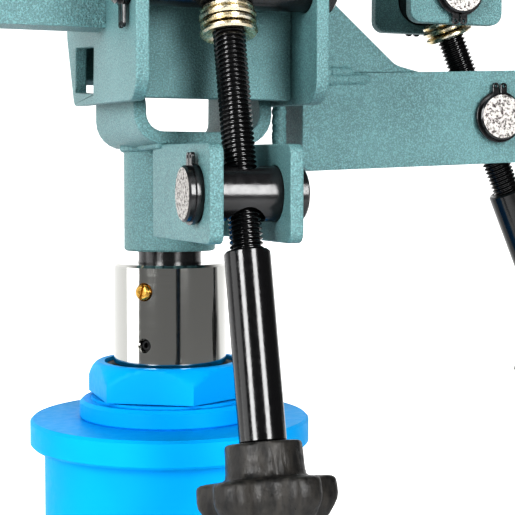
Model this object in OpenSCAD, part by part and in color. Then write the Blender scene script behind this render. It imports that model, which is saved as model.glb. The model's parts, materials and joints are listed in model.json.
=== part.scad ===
// Two-way tilting head on the hydraulic column of a gearbox jack.
// Millimetres, +Z up. The origin lies on the floor, on the column's axis; -Y is the front.

/* [Foot and pump block] */
// Side of the square foot plate
foot_w = 240; // [230:1:320]
// Thickness of the foot plate
foot_t = 12; // [8:1:20]
// Diameter of the four floor bolt holes
foot_bolt_d = 14; // [10:1:18]
// Distance from a bolt hole's centre to the plate's edge
foot_bolt_margin = 25; // [16:1:40]
// Side of the square pump block
block_w = 130; // [122:1:150]
// Height of the pump block
block_h = 62; // [50:1:90]

/* [Pump] */
// Radius of the pump plunger
plunger_r = 10; // [7:0.5:12]
// Distance of the plunger from the column's axis
plunger_x = 98; // [96:1:100]
// Distance between the lever's pivot and the plunger
lever_arm = 32; // [28:1:33]
// Bore radius of the socket that takes the pump handle
socket_bore_r = 13.5; // [10:0.5:15]
// Length of the handle socket
socket_l = 70; // [50:5:110]

/* [Jack column] */
// Outer radius of the oil reservoir
tube_r = 54; // [50:1:58]
// Wall of the reservoir
tube_wall = 4; // [3:0.5:6]
// Height of the reservoir
tube_h = 258.5; // [240:0.5:400]
// Outer radius of the top flange
flange_r = 60; // [56:1:70]
// Thickness of the top flange
flange_h = 11.5; // [8:0.5:16]
// Radius across the corners of the gland nut
gland_r = 37; // [34:0.5:39]
// Height of the gland nut's hexagon
gland_h = 15; // [12:1:24]
// Outer radius of the collar under the gland nut
collar_r = 39; // [38:0.5:45]
// Height of the collar
collar_h = 8; // [6:1:14]
// Radius of the chromed ram
ram_r = 24.25; // [22:0.25:25]
// Travel of the ram
ram_stroke = 200; // [120:5:205]
// Length of ram that shows above the gland nut when it is down
ram_show = 42; // [38:1:60]

/* [Head post and yoke] */
// Radius of the head's post
post_r = 19.5; // [17:0.5:22]
// Radius of the swivel spigot in the ram
spigot_r = 13.5; // [11:0.5:14]
// Gap between the post and the ram
post_gap = 5.5; // [3:0.5:8]
// Height of the post, from its foot to the yoke
post_h = 43.5; // [38:0.5:60]
// Thickness of the bent bars and side plates
plate_t = 5; // [4:0.5:6]
// Outside width of the yoke
yoke_w = 56; // [52:1:64]
// Reach of the yoke in front of the axis
yoke_front = 53; // [48:1:55]
// Reach of the yoke behind the axis
yoke_rear = 20; // [18:1:26]
// Height of the pitch pivot above the yoke's underside
pivot_rise = 65; // [63:1:72]

/* [Tilt screws] */
// Radius of the tilt screws
screw_r = 6; // [5:0.5:7]
// Radius of the cross pins that the screws run through
nut_r = 10; // [9.5:0.5:11]
// Outer radius of the grip sleeve
sleeve_r = 8.25; // [7.5:0.25:10]
// Length of the grip sleeve
sleeve_l = 67; // [50:1:80]
// Radius of the star knob
knob_r = 25; // [20:1:32]
// Lean of the pitch screw
pitch_lean = 14.9; // [13:0.1:16]
// Distance of the pitch screw's lower pin from the column's axis
lug_reach = 101; // [98:1:106]
// Clear width between the lug's two ears
lug_gap = 24; // [22:1:28]
// Height of the pitch screw's upper pin above its lower pin
pitch_span = 78; // [74:1:80]

/* [Tilt bracket] */
// Clear width between the two cheeks
cheek_gap = 63; // [60:1:72]
// Height of the roll pivot above the pitch pivot
roll_rise = 28; // [26:1:36]
// Radius of the roll pivot pin
roll_pin_r = 9; // [7:0.5:10]
// Height of the side arm
arm_h = 40; // [38:1:46]
// Depth of the side arm
arm_d = 30; // [26:1:34]
// Reach of the side arm's free end
arm_reach = 162; // [158:1:185]
// Rise of the side arm along its length
arm_slope = 2.5; // [0:0.5:4]
// Distance of the roll screw's lower pin from the column's axis
roll_nut_x = 136; // [130:1:138]

/* [Saddle] */
// Distance of the roll screw's upper pin from the column's axis
roll_top_x = 113.5; // [108:0.5:114]
// Height of the saddle's underside above the roll pivot
saddle_rise = 38; // [34:1:50]
// Half length of the saddle, left of the axis
saddle_left = 125; // [110:1:170]
// Half length of the saddle, right of the axis
saddle_right = 137; // [136:1:180]
// Reach of the saddle in front of the axis
saddle_front = 105; // [100:1:140]
// Reach of the saddle behind the axis
saddle_rear = 80; // [70:1:120]
// Thickness of the saddle plate
saddle_t = 6; // [5:0.5:10]
// Height of the rubber pads
pad_h = 10; // [6:1:16]

/* [Hidden] */
$fn = 72;

// Fits
run_fit = 0.05;     // radial clearance of a turning or sliding fit
seat_fit = 0.02;    // radial clearance of a fixed fit
side_gap = 0.5;     // clearance beside a moving plate
past = 1;           // how far a cutter runs past the face it opens
nut_play = 1.4;     // play of the screw in its lower pin, which opens the linkage there

// Colours
teal = [0.36, 0.60, 0.59];
blue = [0.02, 0.55, 0.95];
black_steel = [0.10, 0.10, 0.11];
chrome = [0.80, 0.81, 0.82];
zinc = [0.72, 0.70, 0.62];
brass = [0.80, 0.58, 0.22];
rubber = [0.07, 0.07, 0.07];

// Column heights
block_top = foot_t + block_h;
tube_top = block_top + tube_h;
flange_top = tube_top + flange_h;
collar_top = flange_top + collar_h;
gland_groove_h = 1;
gland_top = collar_top + gland_groove_h + gland_h;
ram_top = gland_top + ram_show;
cylinder_r = ram_r + 2.75;
cylinder_wall = 5;
piston_h = 20;
piston_z = block_top + 6;
bush_h = 22;
wiper_h = 6;
wiper_r = ram_r + 4;
spigot_bore_l = 52;
spigot_seat_l = 20;

// Pump
lever_x = plunger_x - lever_arm;
lever_z = block_top + 54;
barrel_top = block_top + 26;
barrel_r = plunger_r + 8;
lever_pin_r = 5;
bracket_t = 5;
bracket_half = plunger_r + 1.5;
plunger_slot_play = 0.5;
plunger_slot_l = 3.8;
release_x = 38;
release_z = foot_t + 0.5 * block_h;
release_l = 30;

// Head heights
post_z = ram_top + post_gap;
yoke_z = post_z + post_h;
pivot_z = yoke_z + pivot_rise;
pivot_pin_r = 8;
pivot_eye_r = 17;
roll_z = pivot_z + roll_rise;
bend_r = 7;
lug_drop = 19;
pin_z = yoke_z - lug_drop;
lug_half_h = 17.3;
lug_front = lug_reach + 17;
lug_rear = 38;
cheek_in = 0.5 * cheek_gap;
cheek_out = cheek_in + plate_t;
spacer_t = cheek_in - 0.5 * yoke_w - 0.25;

// Upper pins of the two screws
swivel_y = -lug_reach + pitch_span * tan(pitch_lean);
swivel_z = pin_z + pitch_span;
arm_left = cheek_out + 9.5;
arm_y = -10;
arm_mid_y = arm_y - 0.5 * arm_d;
arm_z0 = pivot_z - 75;
arm_wall = 3.5;
roll_nut_z = arm_z0 + 0.5 * arm_h + (roll_nut_x - arm_left) * tan(arm_slope);
roll_top_z = roll_z - 26.5;
roll_span = roll_top_z - roll_nut_z;
roll_lean = atan2(roll_nut_x - roll_top_x, roll_span);
hanger_gap = 31;
hanger_half_w = 21.5;
hanger_drop = 14;

// Cross pins and their clips
pin_over = 5.2;
clip_t = 1.4;
clip_inset = 3.2;
clip_groove = 1;
clip_proud = 1;     // how far a clip's ring stands out of its pin
clip_lug_r = 1.5;
clip_lug_x = 1.9;
clip_lug_rise = 2.1;
clip_long_rise = 6;   // on the pitch screw's upper pin
clip_eye_r = 0.7;

// Screw trim, measured along a screw from its lower pin
sleeve_gap_pitch = 21;
sleeve_gap_roll = 0.5 * arm_h / cos(roll_lean) + 13;
hub_r = 13.5;
hub_h = 12;
knob_h = 20;
knob_lobes = 5;
knob_wave = 0.13;   // depth of the knob's scallops, as a share of its radius
rod_past_hub = 18;
washer_r = 10.6;
pitch_washers = 4;
roll_washers = 3;
washer_pitch = 2.6;
washer_t = 2.3;
end_nut_af = 19;
end_nut_h = 10;
end_washer_t = 2.2;

// Saddle
saddle_z = roll_z + saddle_rise;
lug_y_front = -50;
mount_front = -47;
mount_rear = 27;
roll_tube_r = roll_pin_r + 5;
pad_w = 34;
pad_l = 60;
saddle_hole_d = 10.5;
saddle_hole_x = 70;
saddle_hole_y = 40;

// ---- helpers -------------------------------------------------------------------------------

// Round bar along X, centred
module xbar(r, l) { rotate([0, 90, 0]) cylinder(h = l, r = r, center = true); }
// Round bar along Y, centred
module ybar(r, l) { rotate([90, 0, 0]) cylinder(h = l, r = r, center = true); }
// Plate whose outline lies in Y and Z, from x0 to x0 + t
module side_plate(x0, t) { translate([x0, 0, 0]) rotate([90, 0, 90]) linear_extrude(t) children(); }
// Plate whose outline lies in X and Z, from y0 to y0 + t
module front_plate(y0, t) { translate([0, y0 + t, 0]) rotate([90, 0, 0]) linear_extrude(t) children(); }

function unit(v) = v / norm(v);
function turn(a) = a > 180 ? a - 360 : a < -180 ? a + 360 : a;
// Arc that rounds corner b between a and c; b[2] is its radius
function corner(a, b, c, n) =
    b[2] == 0 ? [[b[0], b[1]]] :
    let (p = [b[0], b[1]], u = unit([a[0], a[1]] - p), v = unit([c[0], c[1]] - p),
         half = acos(u * v) / 2, o = p + unit(u + v) * b[2] / sin(half),
         s = p + u * b[2] / tan(half) - o, e = p + v * b[2] / tan(half) - o,
         a0 = atan2(s[1], s[0]), sweep = turn(atan2(e[1], e[0]) - a0))
    [for (i = [0:n]) o + b[2] * [cos(a0 + sweep * i / n), sin(a0 + sweep * i / n)]];
// Outline from [x, y, radius] corners
function rounded(p, n = 6) = let (m = len(p))
    [for (i = [0:m - 1]) each corner(p[(i + m - 1) % m], p[i], p[(i + 1) % m], n)];
module plate_outline(p) { polygon(rounded(p)); }
module rounded_box(w, d, h, r) {
    linear_extrude(h) plate_outline([[-w / 2, -d / 2, r], [w / 2, -d / 2, r], [w / 2, d / 2, r],
        [-w / 2, d / 2, r]]);
}
module ring(r_out, r_in, h) {
    difference() {
        cylinder(h = h, r = r_out);
        translate([0, 0, -past]) cylinder(h = h + 2 * past, r = r_in);
    }
}

// Frames of the two screws: origin on the lower pin, +Z up the screw
module on_pitch() { translate([0, -lug_reach, pin_z]) rotate([-pitch_lean, 0, 0]) children(); }
module on_roll() { translate([roll_nut_x, arm_mid_y, roll_nut_z]) rotate([0, -roll_lean, 0]) children(); }
pitch_len = pitch_span / cos(pitch_lean);
roll_len = roll_span / cos(roll_lean);

// Cross pin along X with a clip groove near each end
module cross_pin(r, l) {
    difference() {
        xbar(r, l);
        for (s = [-1, 1]) translate([s * (l / 2 - clip_inset), 0, 0]) rotate([0, 90, 0])
            difference() {
                cylinder(h = clip_t, r = r + past, center = true);
                cylinder(h = clip_t + past, r = r - clip_groove, center = true);
            }
    }
}
// Open spring clip on a pin of radius r, flat in X and Y, with its two lugs at +Y
module clip_outline(r, rise) {
    r_out = r + clip_proud;
    gap = 2 * (clip_lug_x - clip_lug_r);
    difference() {
        union() {
            circle(r = r_out);
            for (s = [-1, 1]) translate([s * clip_lug_x, r_out + rise]) circle(r = clip_lug_r);
            translate([-clip_lug_x - clip_lug_r, 0])
                square([2 * (clip_lug_x + clip_lug_r), r_out + rise]);
        }
        circle(r = r - clip_groove);
        translate([-gap / 2, 0]) square([gap, r_out + 3 * rise]);
        for (s = [-1, 1]) translate([s * clip_lug_x, r_out + rise]) circle(r = clip_eye_r);
    }
}
// Pair of clips on a pin along X, lugs turned up or down
module clip_pair(r, l, up, rise = clip_lug_rise) {
    for (s = [-1, 1]) translate([s * (l / 2 - clip_inset), 0, 0]) rotate([0, 90, 0])
        rotate([0, 0, up > 0 ? 90 : -90]) translate([0, 0, -clip_t / 2])
            linear_extrude(clip_t) clip_outline(r, rise);
}
module rod(top) {
    from = -rod_low;
    translate([0, 0, from]) cylinder(h = top - from, r = screw_r);
}
module sleeve(gap) {
    translate([0, 0, -gap - sleeve_l]) ring(sleeve_r, screw_r + seat_fit, sleeve_l);
}
module star_knob(gap) {
    hub_top = -gap - sleeve_l;
    translate([0, 0, hub_top - hub_h - knob_h]) difference() {
        union() {
            translate([0, 0, knob_h]) cylinder(h = hub_h, r = hub_r);
            linear_extrude(knob_h) polygon([for (a = [0:4:356])
                knob_r * (1 - knob_wave + knob_wave * cos(knob_lobes * a)) * [cos(a), sin(a)]]);
        }
        translate([0, 0, knob_h + hub_h - rod_past_hub]) cylinder(h = rod_past_hub + past,
            r = screw_r + seat_fit);
    }
}
module thrust_washers(top, count) {
    for (i = [0:count - 1]) translate([0, 0, top - nut_r - 0.4 - washer_t - i * washer_pitch])
        ring(i % 2 == 0 ? washer_r : washer_r - 0.8, screw_r + seat_fit, washer_t);
}
module end_nut(top) {
    translate([0, 0, top + nut_r + 0.3]) {
        ring(washer_r, screw_r + seat_fit, end_washer_t);
        translate([0, 0, end_washer_t]) difference() {
            cylinder(h = end_nut_h, r = end_nut_af / sqrt(3), $fn = 6);
            translate([0, 0, -past]) cylinder(h = end_nut_h + 2 * past, r = screw_r + seat_fit);
        }
    }
}
rod_low = sleeve_gap_pitch + sleeve_l + rod_past_hub;
rod_low_roll = sleeve_gap_roll + sleeve_l + rod_past_hub;
rod_over = nut_r + end_washer_t + end_nut_h + 4;

// ---- foot, block and pump ------------------------------------------------------------------

module foot_plate() {
    reach = foot_w / 2 - foot_bolt_margin;
    color(teal) difference() {
        rounded_box(foot_w, foot_w, foot_t, 14);
        for (x = [-1, 1], y = [-1, 1]) translate([x * reach, y * reach, -past])
            cylinder(h = foot_t + 2 * past, d = foot_bolt_d);
    }
}
module pump_block() {
    color(blue) difference() {
        union() {
            translate([0, 0, foot_t]) rounded_box(block_w, block_w, block_h, 10);
            translate([plunger_x, 0, foot_t]) cylinder(h = block_h, r = barrel_r + 3);
            translate([block_w / 2 - past, -barrel_r - 3, foot_t])
                cube([plunger_x - block_w / 2 + past, 2 * barrel_r + 6, block_h]);
        }
        translate([plunger_x, 0, foot_t + 14]) cylinder(h = block_h, r = barrel_r + seat_fit);
        translate([release_x, -block_w / 2 + release_l - 8, release_z]) rotate([90, 0, 0])
            cylinder(h = release_l, r = screw_r + run_fit);
    }
}
module pump_barrel() {
    color(black_steel) translate([plunger_x, 0, foot_t + 14]) difference() {
        cylinder(h = barrel_top - foot_t - 14, r = barrel_r);
        translate([0, 0, 6]) cylinder(h = barrel_top, r = plunger_r + run_fit);
    }
}
module pump_plunger() {
    color(chrome) difference() {
        translate([plunger_x, 0, foot_t + 36]) cylinder(h = lever_z + 12 - foot_t - 36, r = plunger_r);
        for (dx = [0, -plunger_slot_l]) translate([plunger_x + dx, 0, lever_z])
            ybar(lever_pin_r + plunger_slot_play, 3 * plunger_r);
        translate([plunger_x - plunger_slot_l, -1.5 * plunger_r, lever_z - lever_pin_r - plunger_slot_play])
            cube([plunger_slot_l, 3 * plunger_r, 2 * (lever_pin_r + plunger_slot_play)]);
    }
}
module lever_bracket() {
    color(teal) for (s = [0, 1]) mirror([0, s, 0]) difference() {
        front_plate(bracket_half, bracket_t) plate_outline([[lever_x - 8.5, block_top, 0],
            [lever_x + 14, block_top, 0], [lever_x + 8.5, lever_z + 8.5, 8],
            [lever_x - 8.5, lever_z + 8.5, 8]]);
        translate([lever_x, 0, lever_z]) ybar(lever_pin_r + seat_fit, 4 * bracket_half);
    }
}
module lever_pivot_pin() {
    color(black_steel) translate([lever_x, 0, lever_z])
        ybar(lever_pin_r, 2 * (bracket_half + 2 * bracket_t + side_gap) + 5);
}
module lever_socket() {
    y0 = bracket_half + bracket_t + side_gap;
    web_x = plunger_x + plunger_r + 9;
    color(teal) difference() {
        union() {
            for (s = [0, 1]) mirror([0, s, 0]) front_plate(y0, bracket_t)
                plate_outline([[lever_x - 9, lever_z - 9, 8], [web_x + 14, lever_z - 12, 4],
                    [web_x + 14, lever_z + 12, 4], [lever_x - 9, lever_z + 9, 8]]);
            translate([web_x, -y0 - past, lever_z - 12]) cube([6, 2 * (y0 + past), 24]);
            translate([web_x + 3, 0, lever_z]) rotate([0, 90, 0])
                cylinder(h = socket_l + 3, r = socket_bore_r + 3.5);
        }
        translate([web_x + 6, 0, lever_z]) rotate([0, 90, 0]) cylinder(h = socket_l + past,
            r = socket_bore_r);
        translate([lever_x, 0, lever_z]) ybar(lever_pin_r + run_fit, 6 * bracket_half);
        translate([plunger_x, 0, lever_z]) ybar(lever_pin_r + seat_fit, 6 * bracket_half);
    }
}
module plunger_pin() {
    color(black_steel) translate([plunger_x, 0, lever_z])
        ybar(lever_pin_r, 2 * (bracket_half + 2 * bracket_t + side_gap) + 5);
}
module release_screw() {
    face = -block_w / 2;
    color(black_steel) translate([release_x, face, release_z]) {
        translate([0, release_l - 9, 0]) rotate([90, 0, 0]) cylinder(h = release_l + 6, r = screw_r);
        translate([0, -2, 0]) rotate([90, 0, 0]) cylinder(h = 16, r = 12);
        translate([0, -11, 0]) xbar(4, 56);
    }
}

// ---- jack column ---------------------------------------------------------------------------

module reservoir_tube() {
    color(blue) translate([0, 0, block_top]) ring(tube_r, tube_r - tube_wall, tube_h);
}
module inner_cylinder() {
    color(black_steel) translate([0, 0, block_top]) ring(cylinder_r + cylinder_wall, cylinder_r, tube_h);
}
module guide_bush() {
    color(brass) translate([0, 0, tube_top - bush_h]) ring(cylinder_r - seat_fit, ram_r + run_fit, bush_h);
}
module top_flange() {
    color(blue) difference() {
        translate([0, 0, tube_top]) ring(flange_r, cylinder_r, flange_h);
        translate([0, (flange_r + collar_r) / 2, flange_top - 8]) cylinder(h = 8 + past, r = 4);
    }
}
module gland_nut() {
    color(blue) difference() {
        union() {
            translate([0, 0, tube_top]) cylinder(h = flange_h, r = cylinder_r - seat_fit);
            translate([0, 0, flange_top]) cylinder(h = collar_h, r = collar_r);
            translate([0, 0, collar_top]) cylinder(h = gland_groove_h, r = gland_r * cos(30) + 2);
            intersection() {
                translate([0, 0, gland_top - gland_h]) cylinder(h = gland_h, r = gland_r, $fn = 6);
                translate([0, 0, gland_top - gland_h])
                    cylinder(h = gland_h, r1 = gland_r + gland_h, r2 = gland_r * cos(30));
            }
        }
        translate([0, 0, tube_top - past]) cylinder(h = gland_top, r = ram_r + run_fit + 0.4);
        translate([0, 0, gland_top - wiper_h]) cylinder(h = wiper_h + past, r = wiper_r + seat_fit);
    }
}
module ram_wiper() {
    color(rubber) translate([0, 0, gland_top - wiper_h]) ring(wiper_r, ram_r + 0.3, wiper_h);
}
module filler_plug() {
    color(black_steel) translate([0, (flange_r + collar_r) / 2, flange_top - 8]) {
        cylinder(h = 8, r = 4 - seat_fit);
        translate([0, 0, 8]) cylinder(h = 6, r = 7.5, $fn = 6);
    }
}
screw_dir = -41;
module on_ram_face(z) { translate([0, 0, z]) rotate([0, 0, screw_dir]) rotate([90, 0, 0]) children(); }
brass_z = ram_top - 11;
lower_z = ram_top - 33.4;
brass_r = 3.2;
lower_r = 2.4;
module ram() {
    color(chrome) difference() {
        translate([0, 0, piston_z + piston_h]) cylinder(h = ram_top - piston_z - piston_h, r = ram_r);
        translate([0, 0, ram_top - spigot_bore_l]) cylinder(h = spigot_bore_l + past,
            r = spigot_r + run_fit);
        on_ram_face(brass_z) cylinder(h = ram_r + past, r = brass_r + seat_fit);
        on_ram_face(lower_z) cylinder(h = ram_r + past, r = lower_r + seat_fit);
    }
}
module piston() {
    color(black_steel) difference() {
        translate([0, 0, piston_z]) cylinder(h = piston_h, r = cylinder_r - run_fit);
        translate([0, 0, piston_z + 7]) ring(cylinder_r + past, cylinder_r - 4, 6);
    }
}
module piston_seal() {
    color(rubber) translate([0, 0, piston_z + 7]) ring(cylinder_r - 0.3, cylinder_r - 4, 6);
}
module brass_lock_screw() {
    color(brass) on_ram_face(brass_z) translate([0, 0, spigot_r + 0.3])
        cylinder(h = ram_r - spigot_r + 1.9, r = brass_r);
}
module lower_lock_screw() {
    color(black_steel) on_ram_face(lower_z) translate([0, 0, spigot_r + 0.3])
        cylinder(h = ram_r - spigot_r - 2.3, r = lower_r);
}

// ---- yoke ----------------------------------------------------------------------------------

module swivel_spigot() {
    color(black_steel) translate([0, 0, ram_top - spigot_bore_l + 0.3])
        cylinder(h = spigot_bore_l - 0.3 + post_gap + spigot_seat_l, r = spigot_r);
}
module head_post() {
    color(teal) difference() {
        translate([0, 0, post_z]) cylinder(h = post_h, r = post_r);
        translate([0, 0, post_z - past]) cylinder(h = spigot_seat_l + past, r = spigot_r + seat_fit);
    }
}
module yoke_strap() {
    half = yoke_w / 2;
    in = half - plate_t;
    top = pivot_z + pivot_eye_r;
    color(teal) difference() {
        intersection() {
            front_plate(-yoke_front - past, yoke_front + yoke_rear + 2 * past) plate_outline([
                [-half, yoke_z, bend_r + plate_t], [half, yoke_z, bend_r + plate_t],
                [half, top + past, 0], [in, top + past, 0], [in, yoke_z + plate_t, bend_r],
                [-in, yoke_z + plate_t, bend_r], [-in, top + past, 0], [-half, top + past, 0]]);
            side_plate(-yoke_w, 2 * yoke_w) plate_outline([[-yoke_front, yoke_z, 0],
                [yoke_rear, yoke_z, 0], [pivot_eye_r, top, pivot_eye_r - past],
                [-pivot_eye_r, top, pivot_eye_r - past], [-yoke_front, yoke_z + 15, 6]]);
        }
        translate([0, 0, pivot_z]) xbar(pivot_pin_r + seat_fit, 2 * yoke_w);
    }
}
module screw_lug() {
    in = lug_gap / 2;
    color(teal) difference() {
        union() {
            for (s = [0, 1]) mirror([s, 0, 0]) side_plate(in, plate_t) plate_outline([
                [-lug_front, pin_z - lug_half_h, 4], [-lug_rear, pin_z - lug_half_h, 0],
                [-lug_rear, yoke_z, 0], [-yoke_front, yoke_z, 0],
                [-lug_front, pin_z + lug_half_h, 4]]);
            translate([-in - past, -lug_rear - plate_t, pin_z - lug_half_h])
                cube([lug_gap + 2 * past, plate_t, lug_half_h + lug_drop]);
            translate([-plate_t / 2, -lug_rear - past, pin_z - lug_half_h])
                cube([plate_t, lug_rear + past, lug_half_h + lug_drop]);
        }
        translate([0, -lug_reach, pin_z]) xbar(nut_r + run_fit, 4 * in);
        translate([0, 0, post_z - past]) cylinder(h = post_h + 2 * past, r = post_r);
    }
}
pivot_pin_l = 2 * (cheek_out + pin_over + 2.5);
module pitch_pivot_pin() { color(black_steel) translate([0, 0, pivot_z]) cross_pin(pivot_pin_r, pivot_pin_l); }
module pitch_pivot_washers() {
    color(zinc) for (s = [0, 1]) mirror([s, 0, 0]) {
        translate([yoke_w / 2, 0, pivot_z]) rotate([0, 90, 0])
            ring(pivot_eye_r - 3, pivot_pin_r + seat_fit, spacer_t);
        translate([cheek_out + side_gap, 0, pivot_z]) rotate([0, 90, 0])
            ring(pivot_eye_r - 5, pivot_pin_r + seat_fit, pin_over + 2.5 - side_gap - clip_inset - clip_t / 2);
    }
}
module pitch_pivot_clips() {
    color(black_steel) translate([0, 0, pivot_z]) clip_pair(pivot_pin_r, pivot_pin_l, 1);
}
lug_pin_l = lug_gap + 2 * (plate_t + pin_over);
module pitch_nut() {
    color(black_steel) difference() {
        translate([0, -lug_reach, pin_z]) cross_pin(nut_r, lug_pin_l);
        on_pitch() cylinder(h = 4 * nut_r, r = screw_r + nut_play, center = true);
    }
}
module pitch_nut_clips() {
    color(black_steel) translate([0, -lug_reach, pin_z]) clip_pair(nut_r, lug_pin_l, 1);
}

// ---- tilt bracket --------------------------------------------------------------------------

cheek_front = swivel_y - 12.75;
cheek_rear = 41;
cheek_low = pivot_z - 51;
cheek_high = pivot_z + 14;
cheek_rear_z = pivot_z - 15;
rear_slope = 16;        // how far the cheek's rear edge leans back
cross_y = -66;
cross_h = 40;
rear_plate_from = 10;   // from the foot of the sloping edge to the rear plate
rear_plate_h = 24;
slot_y = [-18, 21];
slot_z = [-42, -23];
slot_pitch = 5;
module cheek(x0) {
    difference() {
        side_plate(x0, plate_t) plate_outline([[cheek_front, cheek_low, 10],
            [cheek_rear - rear_slope, cheek_low + 5, 5], [cheek_rear, cheek_rear_z, 10],
            [cheek_rear, cheek_high, 14], [cheek_front, cheek_high, 12]]);
        translate([0, (slot_y[0] + slot_y[1]) / 2, pivot_z + (slot_z[0] + slot_z[1]) / 2])
            rotate([slot_pitch, 0, 0]) cube([4 * cheek_out, slot_y[1] - slot_y[0],
                slot_z[1] - slot_z[0]], center = true);
        translate([0, 0, pivot_z]) xbar(pivot_pin_r + run_fit, 4 * cheek_out);
        translate([0, swivel_y, swivel_z]) xbar(nut_r + run_fit, 4 * cheek_out);
    }
}
module left_cheek() { color(teal) cheek(-cheek_out); }
module right_cheek() { color(teal) cheek(cheek_in); }
// Plates between the cheeks: one upright in front, one along their sloping rear edge
module cross_plates() {
    rear_lean = atan2(rear_slope, cheek_rear_z - cheek_low - 5);
    color(teal) {
        translate([-cheek_in, cross_y, cheek_low + 3]) cube([cheek_gap, plate_t, cross_h]);
        side_plate(-cheek_in, cheek_gap) translate([cheek_rear - rear_slope, cheek_low + 5])
            rotate(-rear_lean) translate([-plate_t - 1, rear_plate_from]) square([plate_t, rear_plate_h]);
    }
}
module roll_pivot_mount() {
    low = pivot_z - 10;
    color(teal) difference() {
        union() {
            for (y = [mount_front, mount_rear - plate_t]) front_plate(y, plate_t) plate_outline([
                [-cheek_in, low, 0], [cheek_in, low, 0], [cheek_in, cheek_high, 0],
                [roll_tube_r + 5, roll_z + roll_tube_r, 12], [-roll_tube_r - 5, roll_z + roll_tube_r, 12],
                [-cheek_in, cheek_high, 0]]);
            translate([0, (mount_front + mount_rear) / 2, roll_z]) ybar(roll_tube_r, mount_rear - mount_front);
        }
        translate([0, 0, roll_z]) ybar(roll_pin_r + run_fit, 4 * (mount_rear - mount_front));
    }
}
// Height of the side arm's underside at x
function arm_low(x) = arm_z0 + (x - arm_left) * tan(arm_slope);
function arm_box(x0, x1, inset, r) = [[x0, arm_low(x0) + inset, r], [x1, arm_low(x1) + inset, r],
    [x1, arm_low(x1) + arm_h - inset, r], [x0, arm_low(x0) + arm_h - inset, r]];
module side_arm() {
    slot_w = 2 * (screw_r + 3);
    color(teal) difference() {
        front_plate(arm_y - arm_d, arm_d) plate_outline(arm_box(arm_left, arm_reach, 0, 4));
        front_plate(arm_y - arm_d + arm_wall, arm_d - 2 * arm_wall)
            polygon([for (p = arm_box(arm_left + arm_wall, arm_reach + past, arm_wall, 0)) [p[0], p[1]]]);
        translate([roll_nut_x, arm_mid_y, roll_nut_z]) ybar(nut_r + run_fit, 2 * arm_d);
        translate([roll_nut_x, arm_mid_y - slot_w / 2, roll_nut_z]) rotate([0, -roll_lean, 0])
            translate([-11, 0, -arm_h]) cube([22, slot_w, 2 * arm_h]);
    }
}
module side_arm_gussets() {
    foot_x = arm_left + 42;
    color(teal) {
        for (y = [arm_y - arm_d, arm_y - plate_t - 5]) front_plate(y, plate_t) plate_outline([
            [cheek_out, arm_low(arm_left) + arm_h, 0],
            [arm_left + 3, arm_low(arm_left + 3) + arm_h, 0],
            [foot_x + 11, arm_low(foot_x + 11) + arm_h, 0], [foot_x, arm_low(foot_x) + arm_h + 3, 10],
            [cheek_out + 2, cheek_high - 1, 0], [cheek_out, cheek_high - 1, 0]]);
        translate([cheek_out, arm_y - arm_d + 3, cheek_low + 6])
            cube([arm_left - cheek_out, arm_d - 6, arm_z0 + arm_h - cheek_low - 8]);
    }
}
stop_x = 100;
stop_y = -43;
stop_d = 16;
stop_h = 34;
stop_low = pivot_z - 20;
stop_bolt_r = 5;
stop_bolt_in = 12;      // length of the bolt inside the arm
module on_stop_bolt() { translate([-stop_x + 14, stop_y + stop_d / 2, stop_low + stop_h]) children(); }
module stop_arm() {
    color(teal) difference() {
        translate([-stop_x, stop_y, stop_low]) cube([stop_x - cheek_out, stop_d, stop_h]);
        translate([-stop_x - past, stop_y + arm_wall, stop_low + arm_wall])
            cube([stop_x - cheek_out, stop_d - 2 * arm_wall, stop_h - 2 * arm_wall]);
        on_stop_bolt() translate([0, 0, -stop_bolt_in - past])
            cylinder(h = stop_bolt_in + 2 * past, r = stop_bolt_r + seat_fit);
    }
}
module stop_bolt() {
    z0 = stop_low + stop_h;
    color(zinc) on_stop_bolt() {
        translate([0, 0, -stop_bolt_in]) cylinder(h = saddle_z - z0 + 2.2, r = stop_bolt_r);
        cylinder(h = 6, r = 9.2, $fn = 6);
        translate([0, 0, saddle_z - z0 - 14]) cylinder(h = 5, r = 9.2, $fn = 6);
    }
}
swivel_l = 2 * (cheek_out + pin_over);
module pitch_swivel() {
    color(black_steel) difference() {
        translate([0, swivel_y, swivel_z]) cross_pin(nut_r, swivel_l);
        on_pitch() translate([0, 0, pitch_len]) cylinder(h = 4 * nut_r, r = screw_r + run_fit, center = true);
    }
}
module pitch_swivel_clips() {
    color(black_steel) translate([0, swivel_y, swivel_z]) clip_pair(nut_r, swivel_l, -1, clip_long_rise);
}

// ---- pitch screw ---------------------------------------------------------------------------

module pitch_screw() { color(black_steel) on_pitch() rod(pitch_len + rod_over); }
module pitch_thrust_washers() { color(zinc) on_pitch() thrust_washers(pitch_len, pitch_washers); }
module pitch_sleeve() { color(black_steel) on_pitch() sleeve(sleeve_gap_pitch); }
module pitch_knob() { color(rubber) on_pitch() star_knob(sleeve_gap_pitch); }
module pitch_end_nut() { color(zinc) on_pitch() end_nut(pitch_len); }

// ---- roll screw ----------------------------------------------------------------------------

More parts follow.
